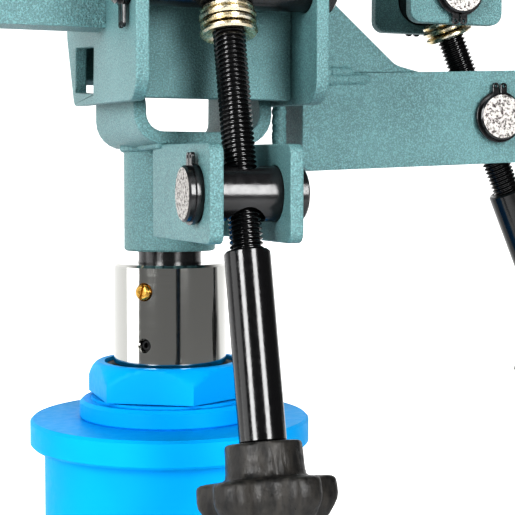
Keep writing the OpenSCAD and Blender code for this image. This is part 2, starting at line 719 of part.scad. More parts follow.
roll_pin_l = arm_d + 2 * pin_over;
module roll_nut() {
    color(black_steel) difference() {
        translate([roll_nut_x, arm_mid_y, roll_nut_z]) rotate([0, 0, 90]) cross_pin(nut_r, roll_pin_l);
        on_roll() cylinder(h = 4 * nut_r, r = screw_r + nut_play, center = true);
    }
}
module roll_nut_clips() {
    color(black_steel) translate([roll_nut_x, arm_mid_y, roll_nut_z]) rotate([0, 0, 90])
        clip_pair(nut_r, roll_pin_l, 1);
}
hanger_l = hanger_gap + 2 * (plate_t + pin_over);
module roll_swivel() {
    color(black_steel) difference() {
        translate([roll_top_x, arm_mid_y, roll_top_z]) rotate([0, 0, 90]) cross_pin(nut_r, hanger_l);
        on_roll() translate([0, 0, roll_len]) cylinder(h = 4 * nut_r, r = screw_r + run_fit, center = true);
    }
}
module roll_swivel_clips() {
    color(black_steel) translate([roll_top_x, arm_mid_y, roll_top_z]) rotate([0, 0, 90])
        clip_pair(nut_r, hanger_l, -1);
}
module roll_screw() {
    color(black_steel) on_roll() translate([0, 0, -rod_low_roll])
        cylinder(h = rod_low_roll + roll_len + rod_over, r = screw_r);
}
module roll_thrust_washers() { color(zinc) on_roll() thrust_washers(roll_len, roll_washers); }
module roll_sleeve() { color(black_steel) on_roll() sleeve(sleeve_gap_roll); }
module roll_knob() { color(rubber) on_roll() star_knob(sleeve_gap_roll); }
module roll_end_nut() { color(zinc) on_roll() end_nut(roll_len); }

// ---- saddle --------------------------------------------------------------------------------

pad_x = [-saddle_left + pad_w / 2 + 8, saddle_right - pad_w / 2 - 8];
pad_y = [-saddle_front + pad_l / 2 + 8, saddle_rear - pad_l / 2 - 8];
module saddle_plate() {
    color(teal) difference() {
        translate([0, 0, saddle_z]) linear_extrude(saddle_t) plate_outline([
            [-saddle_left, -saddle_front, 16], [saddle_right, -saddle_front, 16],
            [saddle_right, saddle_rear, 16], [-saddle_left, saddle_rear, 16]]);
        for (x = [-1, 1], y = [-1, 1]) translate([x * saddle_hole_x, y * saddle_hole_y, saddle_z - past])
            cylinder(h = saddle_t + 2 * past, d = saddle_hole_d);
        for (x = pad_x, y = pad_y) translate([x, y, saddle_z - past])
            cylinder(h = saddle_t + 2 * past, r = 3 + seat_fit);
    }
}
module saddle_lugs() {
    lug_r = roll_tube_r;
    color(teal) for (y = [lug_y_front - plate_t, mount_rear + 3]) difference() {
        front_plate(y, plate_t) plate_outline([[-lug_r, roll_z - lug_r, lug_r - past],
            [lug_r, roll_z - lug_r, lug_r - past], [lug_r + 18, saddle_z, 0], [-lug_r - 18, saddle_z, 0]]);
        translate([0, 0, roll_z]) ybar(roll_pin_r + seat_fit, 400);
    }
}
module roll_hanger() {
    x0 = roll_top_x - hanger_half_w;
    x1 = roll_top_x + hanger_half_w;
    low = roll_top_z - hanger_drop;
    color(teal) for (y = [arm_mid_y - hanger_gap / 2 - plate_t, arm_mid_y + hanger_gap / 2]) difference() {
        front_plate(y, plate_t) plate_outline([[x0, low, 5], [x1, low, 5], [x1, saddle_z, 0],
            [x0, saddle_z, 0]]);
        translate([roll_top_x, arm_mid_y, roll_top_z]) ybar(nut_r + run_fit, 4 * hanger_gap);
    }
}
module roll_pivot_pin() {
    y0 = lug_y_front - plate_t - 4;
    y1 = mount_rear + 3 + plate_t + 8;
    color(black_steel) {
        translate([0, (y0 + y1) / 2, roll_z]) ybar(roll_pin_r, y1 - y0);
        translate([0, y0 + 1.9, roll_z]) ybar(roll_pin_r + 4, 4.2 - 0.4);
        translate([0, mount_rear + 3 + plate_t + 4, roll_z]) rotate([90, 0, 0])
            cylinder(h = 7.6, r = roll_pin_r + 5, $fn = 6, center = true);
    }
}
module saddle_pads() {
    color(rubber) for (x = pad_x, y = pad_y) difference() {
        translate([x, y, saddle_z + saddle_t]) rounded_box(pad_w, pad_l, pad_h, 8);
        translate([x, y, saddle_z]) cylinder(h = saddle_t + pad_h + past, r = 3 + seat_fit);
        translate([x, y, saddle_z + saddle_t + pad_h - 5]) cylinder(h = 6, r = 7);
    }
}
module pad_screws() {
    color(zinc) for (x = pad_x, y = pad_y) translate([x, y, saddle_z - 5]) {
        cylinder(h = saddle_t + pad_h, r = 3);
        translate([0, 0, saddle_t + pad_h]) cylinder(h = 3, r = 6);
        cylinder(h = 5, r = 5.8, $fn = 6);
    }
}

foot_plate();
pump_block();
reservoir_tube();
inner_cylinder();
guide_bush();
top_flange();
gland_nut();
ram_wiper();
filler_plug();
pump_barrel();
lever_bracket();
lever_pivot_pin();
pump_plunger();
lever_socket();
plunger_pin();
release_screw();
ram();
piston();
piston_seal();
brass_lock_screw();
lower_lock_screw();
swivel_spigot();
head_post();
yoke_strap();
screw_lug();
pitch_pivot_pin();
pitch_pivot_washers();
pitch_pivot_clips();
pitch_nut();
pitch_nut_clips();
left_cheek();
right_cheek();
cross_plates();
roll_pivot_mount();
side_arm();
side_arm_gussets();
stop_arm();
stop_bolt();
pitch_swivel();
pitch_swivel_clips();
pitch_screw();
pitch_thrust_washers();
pitch_sleeve();
pitch_knob();
pitch_end_nut();
roll_nut();
roll_nut_clips();
saddle_plate();
saddle_lugs();
roll_hanger();
roll_pivot_pin();
saddle_pads();
pad_screws();
roll_swivel();
roll_swivel_clips();
roll_screw();
roll_thrust_washers();
roll_sleeve();
roll_knob();
roll_end_nut();
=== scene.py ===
import json
import math

import bmesh
import bpy
from mathutils import Matrix, Vector, noise


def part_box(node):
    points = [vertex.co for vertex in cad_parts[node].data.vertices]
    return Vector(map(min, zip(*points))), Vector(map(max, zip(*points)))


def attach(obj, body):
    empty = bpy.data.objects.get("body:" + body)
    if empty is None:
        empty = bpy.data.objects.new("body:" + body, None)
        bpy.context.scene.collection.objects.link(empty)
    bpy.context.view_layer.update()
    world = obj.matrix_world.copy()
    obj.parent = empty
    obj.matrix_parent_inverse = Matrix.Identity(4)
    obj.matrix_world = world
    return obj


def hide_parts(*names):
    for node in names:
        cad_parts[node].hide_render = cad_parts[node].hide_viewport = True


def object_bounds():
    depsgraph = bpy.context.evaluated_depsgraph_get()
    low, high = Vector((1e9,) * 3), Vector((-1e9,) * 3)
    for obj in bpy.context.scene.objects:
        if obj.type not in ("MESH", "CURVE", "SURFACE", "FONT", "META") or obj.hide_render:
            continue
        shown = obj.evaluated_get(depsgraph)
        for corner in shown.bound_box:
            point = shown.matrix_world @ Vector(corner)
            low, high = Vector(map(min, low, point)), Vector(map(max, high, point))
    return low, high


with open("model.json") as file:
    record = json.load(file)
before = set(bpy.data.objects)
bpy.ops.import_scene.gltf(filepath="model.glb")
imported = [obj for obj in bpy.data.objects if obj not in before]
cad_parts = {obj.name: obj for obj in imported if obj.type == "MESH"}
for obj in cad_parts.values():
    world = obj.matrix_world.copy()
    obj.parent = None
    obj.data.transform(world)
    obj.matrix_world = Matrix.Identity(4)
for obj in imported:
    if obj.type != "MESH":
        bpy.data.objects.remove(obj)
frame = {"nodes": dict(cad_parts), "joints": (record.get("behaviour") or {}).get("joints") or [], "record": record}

bl_info = {
    "name": "Gearbox Jack Tilting Head",
    "version": (1, 0, 0),
    "blender": (4, 5, 0),
    "location": "3D View > Sidebar > Jack Head",
    "description": "Builds the visible pieces, finishes and studio of a gearbox jack's tilting head",
    "category": "Object",
}

TAU = 2 * math.pi
CAD_LOW, CAD_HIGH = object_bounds()
NODES = frame["nodes"]
BODY_OF = {n: b for b, ns in frame["record"]["behaviour"]["bodies"].items() for n in ns}
SLOT_OF = {s["node"]: s["material_slot"] for s in frame["record"]["subparts"]}
JOINT = {j["name"]: j for j in frame["joints"]}
PITCH_PIN = Vector(JOINT["pitch_nut_turn"]["pos_m"])
PITCH_TOP = Vector(JOINT["pitch_swivel_turn"]["pos_m"])
ROLL_PIN = Vector(JOINT["roll_nut_turn"]["pos_m"])
ROLL_TOP = Vector(JOINT["roll_swivel_turn"]["pos_m"])
X_AXIS, Y_AXIS, Z_AXIS = Vector((1, 0, 0)), Vector((0, 1, 0)), Vector((0, 0, 1))


# ---- settings -------------------------------------------------------------------------------


class FinishSettings(bpy.types.PropertyGroup):
    """Colours and grain of the finishes"""

    teal: bpy.props.FloatVectorProperty(
        name="Teal", description="Powder coat of the welded head", subtype="COLOR",
        size=3, min=0, max=1, default=(0.098, 0.196, 0.203))
    blue: bpy.props.FloatVectorProperty(
        name="Blue", description="Enamel of the jack column", subtype="COLOR",
        size=3, min=0, max=1, default=(0.0, 0.34, 0.72))
    blackened: bpy.props.FloatVectorProperty(
        name="Blackened steel", description="Black oxide of pins and screws", subtype="COLOR",
        size=3, min=0, max=1, default=(0.012, 0.012, 0.013))
    zinc: bpy.props.FloatVectorProperty(
        name="Zinc", description="Yellowish plating of washers and nuts", subtype="COLOR",
        size=3, min=0, max=1, default=(0.78, 0.75, 0.66))
    brass: bpy.props.FloatVectorProperty(
        name="Brass", description="Brass of the lock screw", subtype="COLOR",
        size=3, min=0, max=1, default=(0.74, 0.46, 0.13))
    grain: bpy.props.FloatProperty(
        name="Powder grain", description="Size of the powder coat's grain", subtype="DISTANCE",
        unit="LENGTH", min=0.0002, max=0.003, default=0.0005)


class ShapeSettings(bpy.types.PropertyGroup):
    """Small sizes that the frame leaves to the looks"""

    plate_edge: bpy.props.FloatProperty(
        name="Plate edge", description="Radius broken off the sheared plates' edges",
        subtype="DISTANCE", unit="LENGTH", min=0.0001, max=0.002, default=0.0006)
    turned_edge: bpy.props.FloatProperty(
        name="Turned edge", description="Chamfer of turned parts", subtype="DISTANCE",
        unit="LENGTH", min=0.0001, max=0.002, default=0.0005)
    thread_pitch: bpy.props.FloatProperty(
        name="Thread pitch", description="Pitch of the tilt screws", subtype="DISTANCE",
        unit="LENGTH", min=0.0005, max=0.003, default=0.00175)
    weld_bead: bpy.props.FloatProperty(
        name="Weld bead", description="Half width of the weld beads", subtype="DISTANCE",
        unit="LENGTH", min=0.0005, max=0.005, default=0.0030)
    weld_ripple: bpy.props.FloatProperty(
        name="Weld ripple", description="Distance between the ripples of a weld",
        subtype="DISTANCE", unit="LENGTH", min=0.0005, max=0.005, default=0.0013)


def finishes():
    return bpy.context.scene.jack_finishes


def shapes():
    return bpy.context.scene.jack_shapes


# ---- shader helpers -------------------------------------------------------------------------


SOCKETS = {"specular": "Specular IOR Level", "coat": "Coat Weight",
           "coat_roughness": "Coat Roughness",
           "glow_color": "Emission Color"}


class Shader:
    """A material with one principled shader and short calls for its pattern nodes"""

    def __init__(self, name, color, metallic, roughness, **inputs):
        self.material = bpy.data.materials.new(name)
        self.material.use_nodes = True
        self.tree = self.material.node_tree
        self.skin = self.tree.nodes["Principled BSDF"]
        self.skin.inputs["Base Color"].default_value = (*color, 1)
        self.skin.inputs["Metallic"].default_value = metallic
        self.skin.inputs["Roughness"].default_value = roughness
        for key, value in inputs.items():
            self.skin.inputs[SOCKETS[key]].default_value = value
        self.coords = self.tree.nodes.new("ShaderNodeTexCoord").outputs["Object"]
        self.last_bump = None

    def node(self, kind, **settings):
        made = self.tree.nodes.new(kind)
        for key, value in settings.items():
            setattr(made, key, value)
        return made

    def link(self, source, target):
        self.tree.links.new(source, target)

    def stretched(self, scale):
        mapping = self.node("ShaderNodeMapping")
        mapping.inputs["Scale"].default_value = scale
        self.link(self.coords, mapping.inputs["Vector"])
        return mapping.outputs["Vector"]

    def noise(self, size, detail=3.0, rough=0.55, coords=None):
        made = self.node("ShaderNodeTexNoise")
        made.inputs["Scale"].default_value = 1 / size
        made.inputs["Detail"].default_value = detail
        made.inputs["Roughness"].default_value = rough
        self.link(coords or self.coords, made.inputs["Vector"])
        return made.outputs["Fac"]

    def ramp(self, source, low, high, at=(0.35, 0.65)):
        made = self.node("ShaderNodeMapRange")
        made.inputs["From Min"].default_value, made.inputs["From Max"].default_value = at
        made.inputs["To Min"].default_value, made.inputs["To Max"].default_value = low, high
        self.link(source, made.inputs["Value"])
        return made.outputs["Result"]

    def mix(self, factor, color_a, color_b):
        made = self.node("ShaderNodeMix", data_type="RGBA")
        self.link(factor, made.inputs["Factor"])
        for socket, value in ((made.inputs[6], color_a), (made.inputs[7], color_b)):
            if isinstance(value, bpy.types.NodeSocket):
                self.link(value, socket)
            else:
                socket.default_value = (*value, 1)
        return made.outputs[2]

    def bump(self, height, depth, strength=1.0):
        made = self.node("ShaderNodeBump")
        made.inputs["Distance"].default_value = depth
        made.inputs["Strength"].default_value = strength
        self.link(height, made.inputs["Height"])
        if self.last_bump:
            self.link(self.last_bump, made.inputs["Normal"])
        self.last_bump = made.outputs["Normal"]
        self.link(self.last_bump, self.skin.inputs["Normal"])

    def color(self, source):
        self.link(source, self.skin.inputs["Base Color"])

    def roughness(self, source):
        self.link(source, self.skin.inputs["Roughness"])


def scaled(color, factor):
    return tuple(min(1.0, c * factor) for c in color)


# ---- finishes -------------------------------------------------------------------------------


def teal_powder_coat():
    s = finishes()
    m = Shader("teal_powder_coat", s.teal, 0.0, 0.48, specular=0.80)
    blotch = m.ramp(m.noise(0.035, 2), 0, 1, (0.3, 0.7))
    tone = m.mix(blotch, scaled(s.teal, 0.90), scaled(s.teal, 1.12))
    speck = m.ramp(m.noise(s.grain * 1.2, 2, 0.75), 0, 1, (0.46, 0.62))
    m.color(m.mix(speck, tone, scaled(s.teal, 1.7)))
    m.roughness(m.ramp(m.noise(s.grain * 1.4, 2), 0.36, 0.60, (0.3, 0.7)))
    m.bump(m.noise(s.grain * 1.6, 2, 0.7), 0.0007, 1.0)
    m.bump(m.noise(s.grain * 9, 1), 0.00035, 0.25)
    return m.material


def blue_enamel():
    s = finishes()
    m = Shader("blue_enamel", s.blue, 0.0, 0.45, specular=0.10)
    m.color(m.mix(m.ramp(m.noise(0.05, 2), 0, 1, (0.3, 0.7)), scaled(s.blue, 0.95),
                  scaled(s.blue, 1.06)))
    m.roughness(m.ramp(m.noise(0.004, 3), 0.38, 0.52, (0.3, 0.7)))
    m.bump(m.noise(0.0022, 2, 0.5), 0.00018, 0.22)
    return m.material


def black_oxide():
    s = finishes()
    m = Shader("black_oxide", s.blackened, 0.0, 0.20, specular=0.75)
    oil = m.ramp(m.noise(0.012, 3), 0, 1, (0.35, 0.65))
    m.color(m.mix(oil, scaled(s.blackened, 0.7), scaled(s.blackened, 1.7)))
    m.roughness(m.ramp(m.noise(0.003, 4, 0.65), 0.13, 0.27, (0.3, 0.7)))
    m.bump(m.noise(0.0009, 3, 0.6), 0.00006, 0.35)
    return m.material


def black_thread():
    s = finishes()
    m = Shader("black_thread", scaled(s.blackened, 0.6), 0.0, 0.15, specular=0.80)
    m.roughness(m.ramp(m.noise(0.0015, 3), 0.10, 0.26, (0.3, 0.7)))
    m.bump(m.noise(0.0006, 2, 0.6), 0.00006, 0.5)
    return m.material


def sleeve_lacquer():
    s = finishes()
    m = Shader("sleeve_lacquer", scaled(s.blackened, 0.5), 0.0, 0.15, specular=0.75)
    m.roughness(m.ramp(m.noise(0.0022, 4, 0.65), 0.10, 0.22, (0.3, 0.7)))
    m.bump(m.noise(0.0010, 3, 0.6), 0.00008, 0.3)
    return m.material


def sawn_face():
    m = Shader("sawn_steel_face", (0.46, 0.44, 0.42), 0.9, 0.42)
    pits = m.ramp(m.noise(0.0013, 4, 0.75), 0, 1, (0.47, 0.60))
    m.color(m.mix(pits, (0.56, 0.54, 0.52), (0.06, 0.05, 0.05)))
    m.roughness(m.ramp(m.noise(0.0016, 3), 0.32, 0.62, (0.3, 0.7)))
    m.bump(m.noise(0.0010, 4, 0.7), 0.00025, 0.8)
    return m.material


def polished_chrome():
    m = Shader("polished_chrome", (0.52, 0.52, 0.50), 1.0, 0.07)
    rings = m.noise(0.0006, 2, 0.5, m.stretched((0.02, 0.02, 1)))
    m.roughness(m.ramp(rings, 0.05, 0.11, (0.3, 0.7)))
    m.bump(rings, 0.00002, 0.35)
    return m.material


def zinc_plating():
    s = finishes()
    m = Shader("zinc_plating", s.zinc, 1.0, 0.24)
    tint = m.ramp(m.noise(0.004, 3), 0, 1, (0.35, 0.65))
    m.color(m.mix(tint, scaled(s.zinc, 1.06), (0.66, 0.56, 0.36)))
    m.roughness(m.ramp(m.noise(0.0012, 3), 0.16, 0.38, (0.3, 0.7)))
    m.bump(m.noise(0.0007, 3), 0.00006, 0.4)
    return m.material


def turned_brass():
    s = finishes()
    m = Shader("turned_brass", s.brass, 1.0, 0.24)
    m.color(m.mix(m.ramp(m.noise(0.0016, 3), 0, 1, (0.35, 0.65)), scaled(s.brass, 1.1),
                  scaled(s.brass, 0.6)))
    m.roughness(m.ramp(m.noise(0.0008, 2), 0.16, 0.36, (0.3, 0.7)))
    m.bump(m.noise(0.0007, 2), 0.00005, 0.4)
    return m.material


def black_rubber():
    m = Shader("black_rubber", (0.018, 0.018, 0.019), 0.0, 0.62)
    m.color(m.mix(m.ramp(m.noise(0.012, 3), 0, 1, (0.3, 0.7)), (0.014, 0.014, 0.015),
                  (0.032, 0.031, 0.030)))
    m.roughness(m.ramp(m.noise(0.002, 3), 0.52, 0.74, (0.3, 0.7)))
    m.bump(m.noise(0.0008, 3, 0.6), 0.00012, 0.5)
    return m.material


def moulded_knob_plastic():
    m = Shader("moulded_knob_plastic", (0.018, 0.017, 0.016), 0.0, 0.40, specular=0.45)
    flow = m.noise(0.0045, 3, 0.6, m.stretched((1, 1, 0.35)))
    m.color(m.mix(m.ramp(flow, 0, 1, (0.38, 0.66)), (0.011, 0.011, 0.011), (0.040, 0.037, 0.033)))
    m.roughness(m.ramp(m.noise(0.0028, 4, 0.65), 0.26, 0.58, (0.3, 0.7)))
    m.bump(m.noise(0.0011, 4, 0.65), 0.00022, 0.6)
    m.bump(flow, 0.0006, 0.5)
    return m.material


BUILDERS = {
    "teal_paint": teal_powder_coat,
    "blue_paint": blue_enamel,
    "black_steel": black_oxide,
    "thread": black_thread,
    "sawn": sawn_face,
    "sleeve": sleeve_lacquer,
    "chrome": polished_chrome,
    "zinc_plate": zinc_plating,
    "brass": turned_brass,
    "rubber": black_rubber,
    "black_plastic": moulded_knob_plastic,
}
MADE = {}


def finish(key):
    if key not in MADE:
        MADE[key] = BUILDERS[key]()
    return MADE[key]


# ---- mesh helpers ---------------------------------------------------------------------------


def add_piece(name, mesh, body, key, replaces=(), smooth=35.0, extra=()):
    """Links a finished mesh as a piece that rides on body, with the finish named key"""
    obj = bpy.data.objects.new(name, mesh)
    bpy.context.scene.collection.objects.link(obj)
    slots = [0] * len(mesh.polygons)
    mesh.polygons.foreach_get("material_index", slots)
    mesh.materials.clear()
    for each in (key, *extra):
        mesh.materials.append(finish(each))
    mesh.polygons.foreach_set("material_index", [min(i, len(extra)) for i in slots])
    mesh.shade_smooth()
    mesh.set_sharp_from_angle(angle=math.radians(smooth))
    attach(obj, body)
    if replaces:
        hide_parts(*replaces)
    return obj


def mesh_from(bm, name):
    """Turns a bmesh into a mesh with its doubles merged and its faces pointing outwards"""
    bmesh.ops.remove_doubles(bm, verts=bm.verts, dist=1e-6)
    bmesh.ops.recalc_face_normals(bm, faces=bm.faces)
    mesh = bpy.data.meshes.new(name)
    bm.to_mesh(mesh)
    bm.free()
    return mesh


def baked(mesh, modifiers, name):
    """Applies modifiers, given as (kind, settings), to a mesh and returns the plain result"""
    obj = bpy.data.objects.new(name, mesh)
    bpy.context.scene.collection.objects.link(obj)
    for kind, settings in modifiers:
        made = obj.modifiers.new(kind.lower(), kind)
        for key, value in settings.items():
            setattr(made, key, value)
    depsgraph = bpy.context.evaluated_depsgraph_get()
    result = bpy.data.meshes.new_from_object(obj.evaluated_get(depsgraph))
    bpy.data.objects.remove(obj)
    result.name = name
    return result


def placement(origin, axis, turn=0.0):
    """Matrix that takes local +Z to axis and the local origin to origin"""
    spin = Matrix.Rotation(turn, 4, "Z")
    return Matrix.Translation(origin) @ Z_AXIS.rotation_difference(axis).to_matrix().to_4x4() @ spin


def eased(node, width, segments=2, angle=32.0):
    """Copy of a CAD node with every crisp edge broken by a small round"""
    bm = bmesh.new()
    bm.from_mesh(NODES[node].data)
    bmesh.ops.remove_doubles(bm, verts=bm.verts, dist=2e-6)
    bmesh.ops.dissolve_limit(bm, angle_limit=math.radians(0.6), verts=bm.verts, edges=bm.edges,
                             delimit={"NORMAL"})
    mesh = bpy.data.meshes.new(node)
    bm.to_mesh(mesh)
    bm.free()
    settings = {"width": width, "segments": segments, "limit_method": "ANGLE",
                "angle_limit": math.radians(angle), "harden_normals": False,
                "use_clamp_overlap": True, "miter_outer": "MITER_ARC"}
    return baked(mesh, [("BEVEL", settings)], node + "_eased")


def eased_piece(node, width=None, key=None, segments=2, angle=32.0):
    width = width or shapes().plate_edge
    mesh = eased(node, width, segments, angle)
    return add_piece(node + "_finished", mesh, BODY_OF[node], key or SLOT_OF[node], (node,), 20)


def softened(profile, steps=3):
    """Rounds the corners of a closed or open profile of (r, z, radius) points"""
    made = []
    for i, (r, z, radius) in enumerate(profile):
        if radius <= 0 or i in (0, len(profile) - 1):
            made.append((r, z))
            continue
        here = Vector((r, z))
        before = Vector(profile[i - 1][:2]) - here
        after = Vector(profile[i + 1][:2]) - here
        cut = min(radius, 0.49 * before.length, 0.49 * after.length)
        start, end = here + before.normalized() * cut, here + after.normalized() * cut
        for k in range(steps + 1):
            t = k / steps
            point = start * (1 - t) ** 2 + here * 2 * t * (1 - t) + end * t ** 2
            made.append((point.x, point.y))
    return made


def turned(bm, profile, matrix, segments=64, cap=0):
    """Spins a profile of (r, z, corner radius) about local Z into a closed shape. Its end discs
    get material slot cap."""
    line = softened(profile)
    rings = []
    for r, z in line:
        if r < 1e-7:
            rings.append([bm.verts.new(matrix @ Vector((0, 0, z)))] * segments)
        else:
            rings.append([bm.verts.new(matrix @ Vector((r * math.cos(TAU * i / segments),
                          r * math.sin(TAU * i / segments), z))) for i in range(segments)])
    closed = line[0][0] > 1e-7
    pairs = list(zip(rings, rings[1:]))
    if closed:
        pairs.append((rings[-1], rings[0]))
    for lower, upper in pairs:
        for i in range(segments):
            k = (i + 1) % segments
            corners = []
            for v in (lower[i], lower[k], upper[k], upper[i]):
                if v not in corners:
                    corners.append(v)
            if len(corners) > 2:
                face = bm.faces.new(corners)
                if len(corners) == 3:
                    face.material_index = cap


def turned_piece(name, parts, body, key, replaces, extra=(), smooth=35.0):
    """Piece of one or more turned parts, each (profile, matrix, segments, cap slot)"""
    bm = bmesh.new()
    for profile, matrix, segments, cap in parts:
        turned(bm, profile, matrix, segments, cap)
    return add_piece(name, mesh_from(bm, name), body, key, replaces, smooth, extra)


def ring_profile(r_out, r_in, z0, z1, edge):
    return [(r_in, z0 + edge, 0), (r_in + edge, z0, 0),
            (r_out - edge, z0, 0), (r_out, z0 + edge, 0),
            (r_out, z1 - edge, 0), (r_out - edge, z1, 0),
            (r_in + edge, z1, 0), (r_in, z1 - edge, 0)]


def size_of(node):
    low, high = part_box(node)
    return high - low


# ---- threads --------------------------------------------------------------------------------


def thread_mesh(bm, radius, pitch, z0, z1, matrix, columns=32):
    """Adds a helical 60 degree thread between z0 and z1, cut square and closed at both ends"""
    root = radius - 0.58 * pitch
    shape = [(0.0, root), (0.12, root), (0.50, radius), (0.62, radius)]
    made = bmesh.new()
    step = len(shape)
    early = 3
    rows = []   # one turn of the helix at each profile point, from below z0 to above z1
    for turn in range(int((z1 - z0) / pitch) + 2 * early):
        for share, r in shape:
            row = []
            for c in range(columns):
                a = TAU * c / columns
                z = z0 + (turn - early + share + c / columns) * pitch
                row.append(made.verts.new((r * math.cos(a), r * math.sin(a), z)))
            rows.append(row)
    for k in range(len(rows) - 1):
        for c in range(columns - 1):
            made.faces.new((rows[k][c], rows[k][c + 1], rows[k + 1][c + 1], rows[k + 1][c]))
    for k in range(len(rows) - 1 - step):
        made.faces.new((rows[k][-1], rows[k + step][0], rows[k + 1 + step][0], rows[k + 1][-1]))
    for z, way in ((z0, -1), (z1, 1)):
        everything = made.verts[:] + made.edges[:] + made.faces[:]
        bmesh.ops.bisect_plane(made, geom=everything, dist=1e-7, plane_co=(0, 0, z),
                               plane_no=(0, 0, way), clear_outer=True)
    bmesh.ops.holes_fill(made, edges=[e for e in made.edges if e.is_boundary], sides=0)
    made.transform(matrix)
    made.normal_update()
    spare = bpy.data.meshes.new("thread")
    made.to_mesh(spare)
    made.free()
    bm.from_mesh(spare)
    bpy.data.meshes.remove(spare)


# ---- pieces ---------------------------------------------------------------------------------


def cut(mesh, cutters, name):
    """Mesh with closed cutter meshes taken away"""
    tools = []
    modifiers = []
    for cutter in cutters:
        tool = bpy.data.objects.new("cutter", cutter)
        bpy.context.scene.collection.objects.link(tool)
        tools.append(tool)
        modifiers.append(("BOOLEAN", {"object": tool, "operation": "DIFFERENCE",
                                      "solver": "EXACT"}))
    bpy.context.view_layer.update()
    result = baked(mesh, modifiers, name)
    for tool in tools:
        bpy.data.objects.remove(tool)
    return result


def rod_mesh(radius, z0, z1, matrix, segments=48):
    """Plain round cutter"""
    bm = bmesh.new()
    turned(bm, [(0, z0, 0), (radius, z0, 0), (radius, z1, 0), (0, z1, 0)], matrix, segments)
    return mesh_from(bm, "rod")


def pin_profile(radius, length, chamfer, grooves=(), depth=0.001, width=0.0014):
    """Half outline of a pin centred on the origin, with clip grooves at the given places"""
    half = length / 2
    line = [(0, -half, 0), (radius - chamfer, -half, 0), (radius, -half + chamfer, 0)]
    for z in grooves:
        for r, dz in ((radius, -1), (radius - depth, -1), (radius - depth, 1), (radius, 1)):
            line.append((r, z + dz * width / 2, 0))
    return line + [(radius, half - chamfer, 0), (radius - chamfer, half, 0), (0, half, 0)]


def cross_pin(node, axis, hole=None):
    """Cross pin with chamfered, sawn ends and clip grooves. hole is (radius, matrix) of a bore."""
    low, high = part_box(node)
    centre = (low + high) / 2
    size = high - low
    length = abs(size.dot(axis))
    radius = min(size) / 2
    inset = 0.0032
    grooves = (-length / 2 + inset, length / 2 - inset)
    bm = bmesh.new()
    turned(bm, pin_profile(radius, length, 0.0007, grooves), placement(centre, axis), 80, 1)
    mesh = mesh_from(bm, node)
    if hole:
        mesh = cut(mesh, [rod_mesh(hole[0], -0.03, 0.03, hole[1])], node)
    return add_piece(node + "_turned", mesh, BODY_OF[node], "black_steel", (node,), 30, ("sawn",))


def screw_frame(pin, top):
    """Matrix of a tilt screw: origin on its lower pin, local Z up the screw"""
    return placement(pin, (top - pin).normalized())


PITCH_FRAME = screw_frame(PITCH_PIN, PITCH_TOP)
ROLL_FRAME = screw_frame(ROLL_PIN, ROLL_TOP)


def along(matrix, node):
    """Lowest and highest place of a node's mesh along a frame's Z, and its largest radius"""
    back = matrix.inverted()
    points = [back @ v.co for v in NODES[node].data.vertices]
    radius = max(math.hypot(p.x, p.y) for p in points)
    return min(p.z for p in points), max(p.z for p in points), radius


def thrust_washer(bm, matrix, z0, z1, r_in, r_out, dish=0.0):
    """Washer with full round rims, dished down at its rim by dish"""
    t = z1 - z0
    e = 0.32 * t
    outline = [(r_in, z0 + e), (r_in + e, z0), (r_out - e, z0 - dish), (r_out, z0 + e - dish),
               (r_out, z1 - e - dish), (r_out - e, z1 - dish), (r_in + e, z1), (r_in, z1 - e)]
    turned(bm, [(r, z, 0) for r, z in outline], matrix, 72)


def build_screw(prefix, matrix, body, washers):
    """Threaded tilt screw with its washers, grip sleeve and moulded star knob"""
    pitch = shapes().thread_pitch
    edge = shapes().turned_edge
    low, high, radius = along(matrix, prefix + "_screw")
    sleeve_low, sleeve_high, sleeve_r = along(matrix, prefix + "_sleeve")
    bm = bmesh.new()
    thread_mesh(bm, radius, pitch, sleeve_high - 2 * pitch, high - 0.4 * pitch, matrix)
    turned(bm, [(0, low, 0), (radius - edge, low, 0), (radius, low + edge, 0),
                (radius, sleeve_high - 3 * pitch, 0), (0, sleeve_high - 3 * pitch, 0)], matrix, 48)
    mesh = mesh_from(bm, prefix + "_screw")
    add_piece(prefix + "_screw_threaded", mesh, body, "thread", (prefix + "_screw",), 25)

    bore = radius + 0.00002
    profile = ring_profile(sleeve_r, bore, sleeve_low, sleeve_high, 0.0007)
    turned_piece(prefix + "_sleeve_turned", [(profile, matrix, 96, 0)], body, "sleeve",
                 (prefix + "_sleeve",), smooth=30)

    top, bottom = [along(matrix, prefix + "_thrust_washers")[k] for k in (1, 0)]
    step = (top - bottom + 0.0003) / washers
    bm = bmesh.new()
    outer = along(matrix, prefix + "_thrust_washers")[2]
    for i, share in enumerate((0.94, 1.0, 0.97, 1.0)[:washers]):
        z1 = top - i * step
        thrust_washer(bm, matrix, z1 - step + 0.0003, z1, bore, outer * share,
                      0.0006 if i == washers - 1 else 0)
    add_piece(prefix + "_washers_plated", mesh_from(bm, prefix + "_washers"), body, "zinc_plate",
              (prefix + "_thrust_washers",), 40)

    build_knob(prefix, matrix, body)
    eased_piece(prefix + "_end_nut", 0.0005, "zinc_plate", 2, 25)


def knob_outline(angle, sharpness=1.5):
    """Radius of the star outline as a share of the full radius: blunt lobes, wide scallops"""
    wave = math.tanh(sharpness * math.cos(5 * angle)) / math.tanh(sharpness)
    return 0.865 + 0.135 * wave


